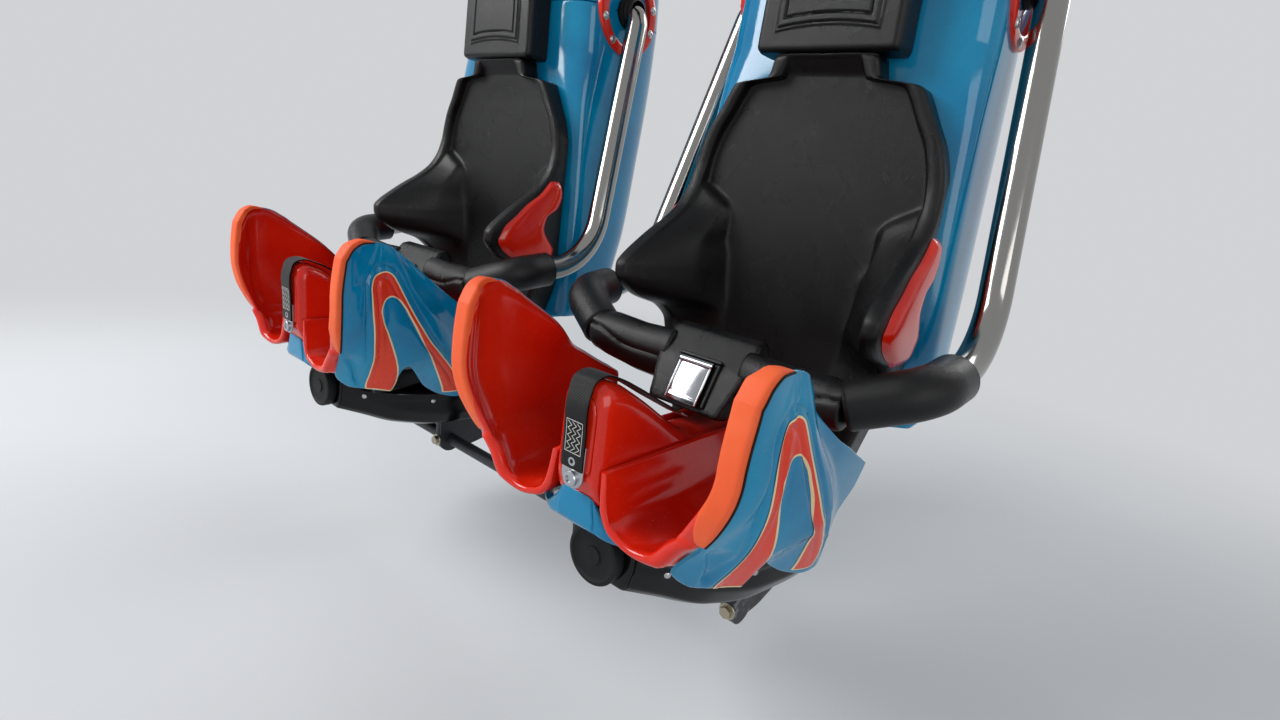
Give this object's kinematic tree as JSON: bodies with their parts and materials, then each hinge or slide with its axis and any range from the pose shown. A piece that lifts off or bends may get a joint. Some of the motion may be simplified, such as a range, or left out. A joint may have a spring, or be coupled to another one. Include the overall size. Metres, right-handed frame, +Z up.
{
  "type": "suspended ride two-seat passenger row",
  "caption": "Side-by-side hanging ride seats with moulded blue shells, red-lined leg wings and overhead lap bars on a flanged beam.",
  "frame": {"origin": "centre of the hanger flange's flat top face, where the row bolts to the ride's arm", "axes": "+Z up out of the flange face; the seats face -Y; +X is the riders' left"},
  "size_m": [1.5618, 0.9114, 1.6869],
  "materials": {
    "blue_gelcoat": "gloss",
    "red_gelcoat": "gloss",
    "rim_orange": "satin",
    "black_skin_foam": "satin grained",
    "black_gloss": "gloss",
    "black_rubber": "matte",
    "black_webbing": "woven",
    "black_sleeve": "satin",
    "stainless_tube": "polished",
    "stainless_bolt": "satin",
    "stainless_plate": "brushed",
    "chrome": "polished",
    "dark_steel": "satin",
    "black_steel": "satin"
  },
  "bodies": {
    "row": {"cross_beam": "dark_steel", "seat_posts": "dark_steel", "hanger_flange": "dark_steel", "tie_rod": "black_steel", "left_back_shell": "blue_gelcoat", "left_shell_cap": "blue_gelcoat", "left_pivot_rings": "red_gelcoat", "left_pivot_discs": "blue_gelcoat", "left_ring_bolts": "stainless_bolt", "left_seat_bucket": "black_skin_foam", "left_headrest": "black_skin_foam", "left_bolster_panels": "red_gelcoat", "left_outer_wings": "blue_gelcoat", "left_leg_liners": "red_gelcoat", "left_wing_rims": "rim_orange", "left_horn": "red_gelcoat", "left_nose_shell": "blue_gelcoat", "left_base_tray": "black_gloss", "left_nose_roll": "black_rubber", "left_strap": "black_webbing", "left_strap_ends": "stainless_plate", "right_back_shell": "blue_gelcoat", "right_shell_cap": "blue_gelcoat", "right_pivot_rings": "red_gelcoat", "right_pivot_discs": "blue_gelcoat", "right_ring_bolts": "stainless_bolt", "right_seat_bucket": "black_skin_foam", "right_headrest": "black_skin_foam", "right_bolster_panels": "red_gelcoat", "right_outer_wings": "blue_gelcoat", "right_leg_liners": "red_gelcoat", "right_wing_rims": "rim_orange", "right_horn": "red_gelcoat", "right_nose_shell": "blue_gelcoat", "right_base_tray": "black_gloss", "right_nose_roll": "black_rubber", "right_strap": "black_webbing", "right_strap_ends": "stainless_plate"},
    "left_lap_bar": {"left_lap_tubes": "stainless_tube", "left_lap_sleeves": "black_sleeve", "left_lap_pad": "black_skin_foam", "left_lap_box": "black_skin_foam"},
    "left_buckle": {"left_buckle_lever": "chrome"},
    "right_lap_bar": {"right_lap_tubes": "stainless_tube", "right_lap_sleeves": "black_sleeve", "right_lap_pad": "black_skin_foam", "right_lap_box": "black_skin_foam"},
    "right_buckle": {"right_buckle_lever": "chrome"}
  },
  "joints": [
    {"name": "left_lap_bar_hinge", "type": "hinge", "parent": "row", "child": "left_lap_bar", "pos_m": [0.418, 0.08, -0.622], "axis": [-1, 0, 0], "range_deg": [0, 75]},
    {"name": "left_buckle_hinge", "type": "hinge", "parent": "left_lap_bar", "child": "left_buckle", "pos_m": [0.418, -0.3279, -1.251], "axis": [-1, 0, 0], "range_deg": [0, 60], "stiffness_Nm_per_rad": 0.6, "springref_deg": -20.05},
    {"name": "right_lap_bar_hinge", "type": "hinge", "parent": "row", "child": "right_lap_bar", "pos_m": [-0.418, 0.08, -0.622], "axis": [-1, 0, 0], "range_deg": [0, 75]},
    {"name": "right_buckle_hinge", "type": "hinge", "parent": "right_lap_bar", "child": "right_buckle", "pos_m": [-0.418, -0.3279, -1.251], "axis": [-1, 0, 0], "range_deg": [0, 60], "stiffness_Nm_per_rad": 0.6, "springref_deg": -20.05}
  ]
}
